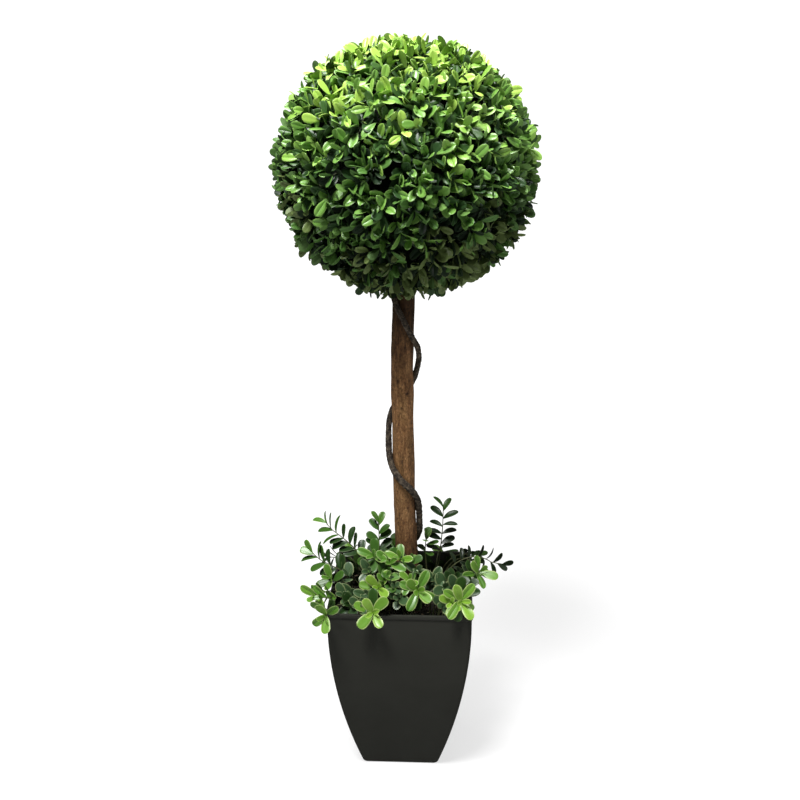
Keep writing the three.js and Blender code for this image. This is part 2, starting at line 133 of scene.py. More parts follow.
SHOOT_ROWS = {
    "sprig_back_left": [((-34, 16), (-98, 32, 300), (150, 35), "oval", "fresh", 22, 0, 8, 9.5, 7)],
    "sprig_left": [((-46, -4), (-112, -6, 277), (160, 35), "oval", "fresh", 22, -10, 6, 9.5, 6)],
    "sprig_behind_trunk": [((-30, 44), (-32, 46, 295), (100, 84), "oval", "fresh", 21, 0, 0, 11)],
    "sprig_trunk_right": [((34, 8), (31, 8, 299), (-70, 70), "spoon", "fresh", 19, 70, 0, 9, 4)],
    "sprig_tall_right": [((44, 28), (51, 26, 326), (80, 86), "slim", "green", 20, 0, 0, 11, 6)],
    "sprig_right": [
        ((46, 12), (124, 14, 257), (0, -12), "slim", "dark", 17, 0, 15, 10.5, 7),
        ((50, 8), (72, 6, 246), (-20, 60), "slim", "dark", 15, 20, 4, 10, 3),
    ],
    "sprig_low_right": [
        ((54, -16), (98, -26, 266), (-50, 35), "spoon", "spring", 24, 40, 4),
        ((52, -12), (84, -14, 258), (-20, 50), "round", "blue", 21, 10, 4, 5, 2),
        ((50, -20), (80, -34, 254), (-60, 50), "round", "deep", 20, 50, 4, 5, 3),
    ],
    "sprig_front_left": [
        ((-46, -50), (-88, -99, 241), (-104, 8), "spoon", "spring", 24, 4, 9, 4, 5, 8),
        ((-50, -44), (-93, -70, 250), (-150, 20), "spoon", "fresh", 22, 50, 8, 6, 3, 8),
        ((-42, -46), (-70, -56, 246), (-110, 40), "round", "blue", 20, 20, 2, 5, 2),
    ],
    "sprig_left_low": [
        ((-56, -26), (-103, -62, 247), (-122, 14), "spoon", "spring", 25, 55, 8, 6, 4, 8),
        ((-52, -26), (-88, -42, 261), (-120, 40), "spoon", "fresh", 21, 15, 4, 5, 3),
        ((-54, -14), (-88, -16, 246), (180, 30), "slim", "dark", 17, 20, 6, 8, 4),
    ],
    "sprig_front": [
        ((-26, -50), (-31, -97, 246), (-88, 24), "spoon", "lime", 27, 22, 3),
        ((-30, -46), (-49, -80, 245), (-100, 35), "round", "blue", 20, 30, 3, 5, 3),
        ((-24, -46), (-41, -68, 253), (-100, 40), "round", "blue", 21, 60, 2, 5, 2),
    ],
    "sprig_front_mid": [
        ((-22, -32), (-27, -58, 259), (-95, 32), "spoon", "lime", 24, 35, 2),
        ((-18, -34), (-17, -49, 267), (-60, 45), "spoon", "fresh", 22, 60, 0, 4, 3),
        ((-14, -34), (-7, -52, 258), (-80, 40), "round", "blue", 19, 10, 0, 5, 2),
    ],
    "sprig_trunk_left": [
        ((-28, -6), (-34, -34, 289), (-110, 38), "spoon", "fresh", 24, 65),
        ((-24, -14), (-13, -41, 284), (-75, 40), "spoon", "fresh", 26, 30, 0, 5),
        ((-26, -18), (-40, -42, 272), (-100, 35), "round", "blue", 20, 20, 0, 5, 3),
    ],
    "sprig_trunk_front": [
        ((2, -26), (-2, -36, 288), (-110, 50), "spoon", "spring", 24, 75, 0, 5),
        ((6, -28), (12, -36, 283), (-60, 50), "spoon", "green", 21, 80, 0, 5, 3),
        ((10, -30), (20, -43, 275), (-80, 40), "round", "blue", 20, 45, 0, 5, 2),
    ],
    "sprig_front_right": [
        ((16, -40), (22, -67, 260), (-82, 26), "spoon", "spring", 27, 22, 3),
        ((10, -38), (11, -56, 269), (-100, 45), "spoon", "spring", 20, 50, 0, 5, 3),
        ((8, -38), (-3, -60, 247), (-95, 35), "round", "blue", 19, 50, 2, 5, 3),
    ],
    "sprig_right_mid": [
        ((40, -34), (54, -58, 260), (-80, 32), "round", "blue", 21, 85, 2, 5, 3),
        ((36, -28), (40, -44, 264), (-90, 40), "round", "blue", 21, 30, 0, 5, 3),
        ((44, -26), (66, -40, 262), (-60, 45), "round", "deep", 21, 50, 2, 5, 3),
        ((46, -34), (68, -62, 262), (-80, 35), "round", "blue", 20, 15, 2, 5, 2),
    ],
    "sprig_corner_right": [
        ((54, -56), (74, -93, 261), (-75, 22), "spoon", "lime", 27, 8, 6, 5),
        ((50, -52), (62, -84, 254), (-100, 30), "spoon", "lime", 22, 55, 4, 5, 3),
        ((46, -50), (51, -75, 246), (-95, 30), "round", "blue", 20, 25, 2, 5, 2),
        ((56, -46), (78, -69, 261), (-70, 40), "round", "deep", 22, 60, 2, 5, 3),
    ],
    "sprig_inner_left": [
        ((-42, -26), (-66, -26, 258), (-110, 65), "round", "blue", 21, 80, 0, 6, 2),
        ((-42, -32), (-60, -50, 246), (-95, 35), "round", "blue", 21, 45, 2, 5, 2),
        ((-44, -40), (-60, -68, 240), (-95, 35), "round", "deep", 21, 10, 3, 5, 3),
    ],
    "sprig_back_right": [
        ((46, 50), (96, 76, 238), (30, -10), "slim", "green", 17, 180, 10, 9, 4),
        ((42, 50), (52, 106, 216), (80, -50), "spoon", "lime", 25, 20, 27, 4, 5, 8),
        ((50, 36), (95, 50, 243), (10, 0), "round", "deep", 20, 10, 14, 5, 3, 8),
        ((36, 40), (44, 62, 226), (60, 40), "round", "deep", 22, 60, 2, 5, 3),
        ((34, 54), (34, 80, 229), (95, 20), "spoon", "green", 22, 30, 2, 5, 4),
        ((56, 50), (74, 76, 227), (50, 25), "round", "green", 22, 75, 4, 5, 4),
    ],
    "sprig_back": [
        ((6, 44), (4, 76, 274), (90, 50), "slim", "green", 18, 180, 6, 9, 6),
        ((0, 50), (-16, 108, 220), (100, -40), "spoon", "spring", 27, 40, 28, 4, 5, 8),
        ((4, 40), (4, 60, 256), (85, 45), "round", "blue", 21, 10, 2, 5, 4),
        ((-4, 42), (-12, 64, 254), (110, 45), "spoon", "fresh", 22, 70, 2),
        ((8, 50), (20, 104, 210), (75, -60), "round", "blue", 20, 10, 28, 4, 4, 8),
        ((-10, 50), (-14, 76, 238), (95, 25), "spoon", "lime", 24, 20, 2),
        ((10, 50), (8, 82, 231), (80, 15), "round", "green", 22, 50, 2, 5, 4),
    ],
    "sprig_back_corner": [
        ((-50, 50), (-72, 106, 214), (112, -50), "spoon", "lime", 25, 10, 28, 4, 5, 8),
        ((-46, 50), (-50, 79, 229), (105, 15), "round", "blue", 22, 40, 4, 4, 4),
        ((-54, 40), (-98, 56, 241), (165, -5), "slim", "deep", 18, 20, 15, 8, 4, 8),
        ((-44, 44), (-30, 60, 240), (110, 55), "round", "deep", 20, 70, 2, 5, 3),
        ((-50, 46), (-66, 66, 229), (130, 25), "spoon", "green", 23, 0, 2, 5, 4),
        ((-36, 50), (-34, 80, 234), (90, 20), "spoon", "fresh", 24, 40, 2),
        ((-46, 30), (-60, 40, 226), (160, 45), "round", "deep", 21, 20, 2, 5, 3),
    ],
}
SHOOTS = {sprig: [Shoot(*row) for row in rows] for sprig, rows in SHOOT_ROWS.items()}

TONES = {  # blade and underside
    "lime": ((0.35, 0.56, 0.088), (0.265, 0.43, 0.082)),
    "spring": ((0.215, 0.405, 0.062), (0.185, 0.33, 0.062)),
    "fresh": ((0.138, 0.3, 0.048), (0.12, 0.24, 0.05)),
    "green": ((0.068, 0.16, 0.03), (0.088, 0.168, 0.048)),
    "moss": ((0.042, 0.102, 0.023), (0.055, 0.108, 0.033)),
    "deep": ((0.026, 0.066, 0.018), (0.036, 0.072, 0.025)),
    "dark": ((0.011, 0.026, 0.01), (0.016, 0.033, 0.013)),
    "olive": ((0.112, 0.16, 0.046), (0.13, 0.182, 0.058)),
    "blue": ((0.08, 0.142, 0.092), (0.084, 0.134, 0.092)),
}
PALE_RIM_AND_HIGHLIGHT = (0.62, 0.66, 0.3)
# How far a leaf's rim goes to the pale colour, partly the leaf's paler margin and partly painted highlight
# along the edge, on the sprigs, and the share of that in the ball
RIM_SHARES = {"lime": 0.42, "spring": 0.38, "fresh": 0.28, "blue": 0.24}
DULL_RIM = 0.05
BALL_RIM = 0.3
DULL_TONES = ("green", "olive", "moss", "deep", "dark")

TONE_LADDERS = {
    "lime": ("lime", "spring", "moss"),
    "spring": ("spring", "fresh", "moss"),
    "fresh": ("fresh", "green", "deep"),
    "green": ("green", "deep", "dark"),
    "olive": ("olive", "deep", "dark"),
    "blue": ("blue", "blue", "deep"),
    "deep": ("deep", "deep", "dark"),
    "dark": ("dark",),
}

CAMERA = Sizes(place=(49.6, -1262, 905), lens=50, sensor=36, tilt=18.61, turn=2.37)
SKY = 0.06
LIGHTS = (  # name, place in metres, size, power in watts
    ("key", (-0.55, -1.05, 3.0), 0.8, 138),
    ("top", (0.1, 0.1, 3.0), 1.0, 45),
    ("side", (2.4, -0.8, 1.6), 1.4, 8),
)
LIGHT_AIM = (0, 0, 0.6)
STAGE = Sizes(
    hole=1, middle=600, flat=1800, far=2600, bend=1400, around=96, curve=16,
    glow_from=0.4, glow_to=1.7, glow_near=0.7, glow_more=0.27,
)


# ---- Tools ----


def unit(v):
    return v / np.linalg.norm(v)


def vec(*xyz):
    return np.array(xyz, float)


def round_angles(count):
    return np.arange(count) * 2 * pi / count


def draws(seed, k):
    """A repeatable stream of numbers between two limits, one stream for each k."""
    return np.random.default_rng([seed, k]).uniform


def lattice(points, seed):
    """A number from 0 to 1 for each whole-number point."""
    p = points.astype(np.int64)
    mixed = (p[..., 0] * 73856093) ^ (p[..., 1] * 19349663) ^ (p[..., 2] * 83492791) ^ (seed * 2654435761)
    mixed = (mixed ^ (mixed >> 13)) * 1274126177
    return ((mixed ^ (mixed >> 16)) & 0xFFFF) / 65535.0


def noise(points, seed=0):
    """Smooth value noise from -1 to 1 at (..., 3) points, one cell a unit."""
    base = np.floor(points)
    share = points - base
    share = share * share * (3 - 2 * share)
    total = 0.0
    for corner in np.ndindex(2, 2, 2):
        weight = np.prod(np.where(corner, share, 1 - share), axis=-1)
        total = total + weight * lattice(base + np.array(corner), seed)
    return 2 * total - 1


def layered_noise(points, layers, seed=0):
    """Noise of several sizes, each layer half as coarse and half as strong."""
    return sum(noise(points * 2**k, seed + k) / 2**k for k in range(layers))


class Shape:
    """A mesh in the making: its points, the corners of its faces in a row, and each face's count of corners
    and material slot."""

    def __init__(self, points, loops, sizes, slots):
        self.points, self.loops, self.sizes, self.slots = points, loops, sizes, slots

    def placed(self, places, frames, sizes):
        """Copies of the shape, each at its place, turned to its frame (rows: x, y, z axes) and sized."""
        copies = len(places)
        turned = np.einsum("kj,mji->mki", self.points, frames) * sizes[:, None, None] + places[:, None, :]
        loops = (self.loops[None] + np.arange(copies)[:, None] * len(self.points)).ravel()
        return Shape(turned.reshape(-1, 3), loops, np.tile(self.sizes, copies), np.tile(self.slots, copies))


def faced(points, faces, slots=None):
    """A shape from its points and the corners of each face."""
    loops = np.concatenate([np.asarray(f, int) for f in faces])
    slots = np.zeros(len(faces), int) if slots is None else np.asarray(slots, int)
    return Shape(np.asarray(points, float), loops, np.array([len(f) for f in faces]), slots)


def joined(shapes):
    starts = np.cumsum([0] + [len(s.points) for s in shapes[:-1]])
    loops = [s.loops + start for s, start in zip(shapes, starts)]
    kept = ([s.points for s in shapes], loops, [s.sizes for s in shapes], [s.slots for s in shapes])
    return Shape(*(np.concatenate(arrays) for arrays in kept))


def grid_faces(rows, columns, wrapped):
    """Quads between rows of points, whose columns may close on themselves."""
    faces = []
    for r in range(rows - 1):
        for c in range(columns if wrapped else columns - 1):
            n = (c + 1) % columns
            faces.append((r * columns + c, r * columns + n, (r + 1) * columns + n, (r + 1) * columns + c))
    return faces


def ring_solid(rings):
    """A closed solid from rings of points, (rows, columns, 3), with a flat cap at each end."""
    rings = np.asarray(rings)
    rows, columns, _ = rings.shape
    faces = grid_faces(rows, columns, True)
    faces.append(range(columns)[::-1])
    faces.append(range((rows - 1) * columns, rows * columns))
    return faced(rings.reshape(-1, 3), faces)


def circles(line, sides, side):
    """A unit circle square to a line at each of its points, turned as little as may be between them."""
    angles = round_angles(sides)[:, None]
    for tangent in np.gradient(line, axis=0):
        along = unit(tangent)
        side = unit(side - along * (side @ along))
        yield np.cos(angles) * side + np.sin(angles) * np.cross(along, side)


def tube(line, radii, sides, side=(0.3, 1, 0.2)):
    """A closed solid round a line of points, with a radius at each."""
    rings = zip(line, circles(line, sides, vec(*side)), radii)
    return ring_solid([centre + circle * radius for centre, circle, radius in rings])


def linked(name, data):
    """An object in the scene that shows a mesh, light or camera."""
    made = bpy.data.objects.new(name, data)
    bpy.context.scene.collection.objects.link(made)
    return made


def new_object(name, shape, materials):
    """A Blender object in metres from a shape."""
    mesh = bpy.data.meshes.new(name)
    mesh.vertices.add(len(shape.points))
    mesh.vertices.foreach_set("co", (shape.points * MM).astype(np.float32).ravel())
    mesh.loops.add(len(shape.loops))
    mesh.loops.foreach_set("vertex_index", shape.loops.astype(np.int32))
    mesh.polygons.add(len(shape.sizes))
    starts = np.concatenate([[0], np.cumsum(shape.sizes)[:-1]])
    mesh.polygons.foreach_set("loop_start", starts.astype(np.int32))
    mesh.polygons.foreach_set("material_index", shape.slots.astype(np.int32))
    mesh.update(calc_edges=True)
    mesh.validate()
    mesh.shade_smooth()
    for material in materials:
        mesh.materials.append(material)
    return linked(name, mesh)


def finished(name, shape, materials, replaces, sharp_degrees=None, pits=None):
    """A piece that rides on the one body. Pits say how deep in a pit each point is."""
    piece = new_object(name, shape, materials)
    if sharp_degrees:
        piece.data.set_sharp_from_angle(angle=radians(sharp_degrees))
    if pits is not None:
        pit = piece.data.attributes.new("pit", "FLOAT", "POINT")
        pit.data.foreach_set("value", pits.astype(np.float32).ravel())
    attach(piece, "root")
    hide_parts(*replaces)


# ---- Materials ----


class Nodes:
    """Short ways to build a material's nodes. Underscores in the names of inputs stand for spaces."""

    def __init__(self, material):
        self.tree = material.node_tree
        self.shader = self.tree.nodes["Principled BSDF"]
        self.coords = self.tree.nodes.new("ShaderNodeTexCoord").outputs["Object"]

    def feed(self, socket, value):
        """Sets a socket to a constant, or links another node's output to it."""
        if isinstance(value, bpy.types.NodeSocket):
            self.tree.links.new(value, socket)
        else:
            socket.default_value = value

    def shade(self, **inputs):
        for name, value in inputs.items():
            self.feed(self.shader.inputs[name.replace("_", " ")], value)

    def add(self, kind, **inputs):
        node = self.tree.nodes.new("ShaderNode" + kind)
        for name, value in inputs.items():
            self.feed(node.inputs[name.replace("_", " ")], value)
        return node

    def worked(self, kind, operation, *values):
        """A node that works out an operation on values."""
        node = self.add(kind)
        node.operation = operation
        for socket, value in zip(node.inputs, values):
            self.feed(socket, value)
        return node

    def noise(self, scale, detail=4, roughness=0.6, stretch=(1, 1, 1), distortion=0.0):
        place = self.add("Mapping", Scale=stretch, Vector=self.coords).outputs["Vector"]
        look = dict(Scale=scale, Detail=detail, Roughness=roughness, Distortion=distortion)
        return self.add("TexNoise", Vector=place, **look).outputs["Fac"]

    def ramp(self, factor, stops):
        node = self.add("ValToRGB", Fac=factor)
        ramp = node.color_ramp
        while len(ramp.elements) < len(stops):
            ramp.elements.new(0.5)
        for element, (place, colour) in zip(ramp.elements, stops):
            element.position = place
            element.color = (*colour, 1)
        return node.outputs["Color"]

    def mix(self, factor, a, b, kind="MIX"):
        node = self.tree.nodes.new("ShaderNodeMix")
        node.data_type = "RGBA"
        node.blend_type = kind
        for value, key in ((factor, 0), (a, 6), (b, 7)):
            self.feed(node.inputs[key], (*value, 1) if isinstance(value, tuple) else value)
        return node.outputs[2]

    def spread(self, factor, low, high):
        return self.add("MapRange", Value=factor, To_Min=low, To_Max=high).outputs["Result"]

    def height(self, low, high):
        """From 0 to 1 between two heights in metres."""
        z = self.add("SeparateXYZ", Vector=self.coords).outputs["Z"]
        return self.add("MapRange", Value=z, From_Min=low, From_Max=high).outputs["Result"]

    def away(self, near, far):
        """From 0 to 1 between two distances in metres from the vertical axis."""
        flat = self.worked("VectorMath", "MULTIPLY", self.coords, (1, 1, 0)).outputs["Vector"]
        length = self.worked("VectorMath", "LENGTH", flat).outputs["Value"]
        node = self.add("MapRange", Value=length, From_Min=near, From_Max=far)
        node.interpolation_type = "SMOOTHSTEP"
        return node.outputs["Result"]

    def bump(self, height, strength, distance):
        node = self.add("Bump", Strength=strength, Distance=distance, Height=height)
        self.shade(Normal=node.outputs["Normal"])


def plain_material(name, colour, roughness, coat=0.0):
    """A new material of one colour, and its nodes."""
    material = bpy.data.materials.new(name)
    material.use_nodes = True
    nodes = Nodes(material)
    nodes.shade(Base_Color=(*colour, 1), Roughness=roughness, Coat_Weight=coat, Coat_Roughness=0.25)
    return material, nodes


def pot_material():
    """Near-black moulded plastic with a satin skin."""
    material, nodes = plain_material("pot_plastic", (0.03, 0.03, 0.025), 0.5)
    cloud = nodes.ramp(nodes.noise(14, 3), [(0.3, (0.0229, 0.0235, 0.0188)), (0.7, (0.0266, 0.0272, 0.022))])
    satin = nodes.spread(nodes.noise(60, 4), 0.5, 0.62)
    nodes.shade(Base_Color=cloud, Roughness=satin, Specular_IOR_Level=0.16)
    nodes.bump(nodes.noise(900, 3), 0.1, 0.0003)
    return material


def fill_material():
    """Dark earth with patches of moss."""
    material, nodes = plain_material("earth", (0.02, 0.015, 0.01), 0.95)
    earth = nodes.ramp(nodes.noise(120, 6), [(0.35, (0.004, 0.003, 0.002)), (0.75, (0.03, 0.019, 0.011))])
    moss = nodes.ramp(nodes.noise(300, 4), [(0.35, (0.004, 0.008, 0.002)), (0.75, (0.018, 0.028, 0.008))])
    patches = nodes.spread(nodes.noise(35, 3), -0.6, 1.5)
    nodes.shade(Base_Color=nodes.mix(patches, earth, moss))
    nodes.bump(nodes.noise(420, 6), 0.8, 0.002)
    return material


def bark_material():
    """Mottled brown bark with fine grain and dark pits, with painted shade close under the ball and towards
    the foot.
    """
    material, nodes = plain_material("bark", (0.16, 0.08, 0.04), 0.8)
    grain = nodes.noise(230, 7, 0.7, (1, 1, 0.22), 0.5)
    mottle = nodes.noise(520, 5, 0.7, (1, 1, 0.6))
    patches = nodes.noise(45, 4, 0.6, (1, 1, 0.3))
    wood = [(0.3, (0.06, 0.026, 0.01)), (0.5, (0.205, 0.098, 0.039)), (0.72, (0.42, 0.23, 0.1))]
    speckles = [(0.32, (0.22, 0.2, 0.19)), (0.5, (1.0, 1.0, 1.0)), (0.68, (1.8, 1.75, 1.65))]
    colour = nodes.mix(nodes.spread(patches, -0.6, 0.9), nodes.ramp(grain, wood), (0.15, 0.092, 0.03))
    colour = nodes.mix(0.75, colour, nodes.ramp(mottle, speckles), "MULTIPLY")
    # painted shade: the bark darkens upwards close under the ball, where the ball shades the stem
    painted_shade_under_ball = nodes.ramp(nodes.height(0.46, 0.63), [(0.25, (1, 1, 1)), (0.75, (0.17, 0.15, 0.12))])
    colour = nodes.mix(1.0, colour, painted_shade_under_ball, "MULTIPLY")
    # painted shade: the bark darkens downwards towards the pot, where the rim and the sprigs shade the stem
    foot = nodes.ramp(nodes.height(0.2, 0.46), [(0.0, (0.56, 0.56, 0.56)), (1.0, (1, 1, 1))])
    colour = nodes.mix(1.0, colour, foot, "MULTIPLY")
    pit = nodes.tree.nodes.new("ShaderNodeAttribute")
    pit.attribute_name = "pit"
    colour = nodes.mix(pit.outputs["Fac"], colour, (0.012, 0.006, 0.004))
    nodes.shade(Base_Color=colour, Roughness=nodes.spread(grain, 0.7, 0.92), Specular_IOR_Level=0.25)
    nodes.bump(nodes.mix(0.5, grain, mottle), 0.7, 0.0012)
    return material


def vine_material():
    """Dark, rough vine with pale flecks."""
    material, nodes = plain_material("vine_bark", (0.045, 0.035, 0.026), 0.85)
    mottle = nodes.noise(240, 6, 0.8)
    flecks = [(0.38, (0.009, 0.006, 0.004)), (0.5, (0.036, 0.025, 0.016)), (0.62, (0.135, 0.105, 0.07))]
    nodes.shade(Base_Color=nodes.ramp(mottle, flecks))
    nodes.bump(mottle, 0.8, 0.001)
    return material


def leaf_material(name, colour, roughness, coat=0.0, **look):
    """One plain colour, with the faint unevenness of a moulded leaf."""
    material, nodes = plain_material(name, colour, roughness, coat)
    nodes.shade(**look)
    nodes.bump(nodes.noise(700, 2), 0.08, 0.0004)
    return material


def leaf_materials(group, tone, strength, rim_strength, roughness):
    """Blade, rim and underside of a leaf, the dark tones with less shine; the pale rim is partly painted
    highlight.
    """
    blade, under = (tuple(c * s for c, s in zip(colour, strength)) for colour in TONES[tone])
    share = RIM_SHARES.get(tone, DULL_RIM) * rim_strength
    # the rim's pale colour: partly the leaf's own margin, partly painted highlight along the edge
    rim = tuple(b + (p - b) * share for b, p in zip(blade, PALE_RIM_AND_HIGHLIGHT))
    dull = tone in DULL_TONES
    look = dict(Specular_IOR_Level=0.38) if dull else {}
    return [
        leaf_material(f"{group}_{tone}_blade", blade, roughness, 0.05 if dull else 0.2, **look),
        leaf_material(f"{group}_{tone}_rim", rim, roughness + 0.05, **look),
        leaf_material(f"{group}_{tone}_under", under, roughness + 0.15, **look),
    ]


# ---- Pot and fill ----


def pot_half(z):
    below = np.maximum(0, 1 - np.asarray(z, float) / POT.bow_height)
    return POT.foot_half + (POT.rim_half - POT.foot_half) * (1 - below ** POT.bow_power)


FILL_HALF = float(pot_half(FILL_TOP)) - POT.wall - GAP


def rounded_square(half, corner, z, steps=7, straight=6):
    """One ring of points round a square with rounded corners, with points along its sides too."""
    middle = half - corner
    arc = [radians(90 * k / steps) for k in range(steps + 1)]
    quarter = [(middle + corner * cos(a), middle + corner * sin(a)) for a in arc]
    quarter += [(middle * (1 - 2 * k / straight), half) for k in range(1, straight)]
    ring = []
    for _ in range(4):
        ring += [(x, y, z) for x, y in quarter]
        quarter = [(-y, x) for x, y in quarter]
    return ring


def make_pot():
    top, lip_low, edge = POT.height, POT.height - POT.lip_height, POT.edge
    foot, rim, inner_rim = POT.foot_half, POT.rim_half + POT.lip, POT.rim_half - POT.wall
    profile = [(foot - 3, 0), (foot - 1, 0.25), (foot - 0.1, 1.2)]
    profile += [(float(pot_half(z)), z) for z in np.linspace(2.5, lip_low - 0.8, 44)]
    profile += [(rim - 0.5, lip_low - 0.2), (rim - 0.1, lip_low + 0.2), (rim, lip_low + 0.6)]
    profile += [(rim, top - edge), (rim - 0.25 * edge, top - 0.3 * edge), (rim - edge, top)]
    profile += [(inner_rim + edge, top), (inner_rim + 0.25 * edge, top - 0.3 * edge), (inner_rim, top - edge)]
    profile += [(float(pot_half(z)) - POT.wall, z) for z in np.linspace(top - 3, POT.floor + 2, 30)]
    profile += [(foot - POT.wall - 2, POT.floor)]
    rings = [rounded_square(half, POT.corner, z) for half, z in profile]
    finished("pot_body", ring_solid(rings), [pot_material()], ["pot"], sharp_degrees=35)


def fill_height(x, y):
    """The lumpy surface of the earth, level where it meets the pot."""
    flat = np.stack([x, y, np.zeros_like(x)], -1)
    lumps = EARTH.lumps * layered_noise(flat / EARTH.lump_size, 4, 5)
    grit = EARTH.grit * layered_noise(flat / EARTH.grit_size, 3, 9)
    edge = np.clip((FILL_HALF - np.maximum(abs(x), abs(y))) / EARTH.level_edge, 0, 1)
    return FILL_TOP - EARTH.settled + (lumps + grit) * edge


def make_fill():
    """Earth and moss: a lumpy sheet over the cement, closed below."""
    ticks = np.linspace(-FILL_HALF, FILL_HALF, EARTH.cells + 1)
    x, y = np.meshgrid(ticks, ticks)
    surface = np.stack([x, y, fill_height(x, y)], -1)
    corner = FILL_HALF - EARTH.corner
    rounding = EARTH.rounding * np.maximum(0, abs(x) - corner) * np.maximum(0, abs(y) - corner)
    surface[..., 0] -= np.sign(x) * rounding
    surface[..., 1] -= np.sign(y) * rounding
    below = surface.copy()
    below[..., 2] = FILL_TOP - EARTH.depth
    index = np.arange(x.size).reshape(x.shape)
    border = [*index[0], *index[1:, -1], *index[-1, -2::-1], *index[-2:0:-1, 0]]
    top_faces = np.array(grid_faces(*x.shape, False))
    walls = [(b, a, a + x.size, b + x.size) for a, b in zip(border, border[1:] + border[:1])]
    faces = [*top_faces, *(top_faces[:, ::-1] + x.size), *walls]
    shape = faced(np.concatenate([surface.reshape(-1, 3), below.reshape(-1, 3)]), faces)
    finished("earth", shape, [fill_material()], ["fill"])


def litter_chip(x, y, along, across, draw):
    """A thin, uneven flake that lies on the earth, a little aslope."""
    length, width, thick = draw(*LITTER.length), draw(*LITTER.width), draw(*LITTER.thick)
    angles = round_angles(5) + draw(-LITTER.uneven, LITTER.uneven, 5)
    ring = np.array([along * length * cos(a) + across * width * sin(a) for a in angles])
    middle = vec(x, y, float(fill_height(x, y)))
    tilt = vec(0, 0, 1) * (ring @ along)[:, None] * draw(-LITTER.slope, LITTER.slope)
    flake = middle + 0.5 * (ring + tilt)
    return ring_solid([flake - (0, 0, 0.5 * thick), flake + (0, 0, 0.5 * thick)])


def litter_fibre(x, y, along, across, draw):
    """A short bent fibre on the earth, its middle raised."""
    reach, bend = draw(*LITTER.reach), draw(-LITTER.bend, LITTER.bend)
    steps = np.linspace(-0.5, 0.5, 6)
    curve = [along * reach * t + across * reach * bend * (t * t - 0.25) for t in steps]
    line = vec(x, y, 0) + np.array(curve)
    most = FILL_HALF - LITTER.inside
    line[:, :2] = np.clip(line[:, :2], -most, most)
    line[:, 2] = fill_height(line[:, 0], line[:, 1]) + LITTER.raised + draw(*LITTER.lift) * (1 - 4 * steps**2)
    return tube(line, np.full(len(line), draw(*LITTER.radius)), sides=5)


def make_litter():
    """Chips of bark and moss and short fibres that lie on the earth."""
    draw = draws(LITTER.seed, 0)
    groups = {name: [] for name in LITTER.colours}
    names = list(groups)
    most = FILL_HALF - LITTER.margin
    for k in range(LITTER.chips + LITTER.fibres):
        x, y = draw(-most, most, 2)
        turn = draw(0, 2 * pi)
        along = vec(cos(turn), sin(turn), 0)
        across = vec(-along[1], along[0], 0)
        if k < LITTER.chips:
            groups[names[k % len(names)]].append(litter_chip(x, y, along, across, draw))
        else:
            colour = "brown" if k % LITTER.pale_every else "pale"
            groups[colour].append(litter_fibre(x, y, along, across, draw))
    for name, shapes in groups.items():
        material = leaf_material(f"litter_{name}", LITTER.colours[name], 0.85)
        finished(f"litter_{name}", joined(shapes), [material], ["fill"])


# ---- Stem and vine ----


def catmull_rom(bends, share):
    """A point on the smooth line through the bends, as three.js's centripetal CatmullRomCurve3 places it."""
    points = [np.array(b, float) for b in bends]
    last = len(points) - 1
    k = min(int(share * last), last - 1)
    t = share * last - k
    p1, p2 = points[k], points[k + 1]
    p0 = points[k - 1] if k > 0 else 2 * p1 - p2
    p3 = points[k + 2] if k + 2 <= last else 2 * p2 - p1
    d0, d1, d2 = (np.linalg.norm(b - a) ** 0.5 for a, b in ((p0, p1), (p1, p2), (p2, p3)))
    t1 = ((p1 - p0) / d0 - (p2 - p0) / (d0 + d1) + (p2 - p1) / d1) * d1
    t2 = ((p2 - p1) / d1 - (p3 - p1) / (d1 + d2) + (p3 - p2) / d2) * d1
    return p1 + t1 * t + (3 * (p2 - p1) - 2 * t1 - t2) * t**2 + (2 * (p1 - p2) + t1 + t2) * t**3


TRUNK_LINE = np.array([catmull_rom(TRUNK_BENDS, s) for s in np.linspace(0, 1, 241)])


def trunk_middle(z):
    return np.array([np.interp(z, TRUNK_LINE[:, 2], TRUNK_LINE[:, i]) for i in range(3)])


def bell(away, width):
    return np.exp(-((away / width) ** 2))


def trunk_radius(z):
    share = (z - TRUNK_FOOT) / (TRUNK_TOP - TRUNK_FOOT)
    knot = TRUNK.knot_radius * bell(z - TRUNK.knot_height, TRUNK.knot_spread)
    return TRUNK.foot_radius + (TRUNK.top_radius - TRUNK.foot_radius) * share + knot


def make_trunk():
    """The stem as rings of points pushed in and out by the bark's grain, furrows and knots."""
    around, rows = BARK.around, BARK.rows
    angles = round_angles(around)
    circle = np.stack([np.cos(angles), np.sin(angles), np.zeros(around)], -1)
    rings = np.empty((rows, around, 3))
    pits = np.zeros((rows, around))
    for k, z in enumerate(np.linspace(TRUNK_FOOT, TRUNK_TOP, rows)):
        wood = circle * BARK.radius + (0, 0, z)
        relief = BARK.grain * layered_noise(wood * BARK.grain_cells, 3, 3)
        relief += BARK.swell * noise(wood * BARK.swell_cells, 7)
        for height, degrees, size in TRUNK_KNOTS:
            turn = np.angle(np.exp(1j * (angles - radians(degrees))))
            away = np.hypot(z - height, BARK.radius * turn)
            dent = bell(away, BARK.dent_width * size)
            relief += BARK.knot_rise * bell(away, BARK.knot_width * size) - BARK.dent * dent
            pits[k] = np.maximum(pits[k], dent)
        rings[k] = trunk_middle(z) + circle * (trunk_radius(z) + relief)[:, None]
    finished("stem", ring_solid(rings), [bark_material()], ["trunk"], pits=pits)


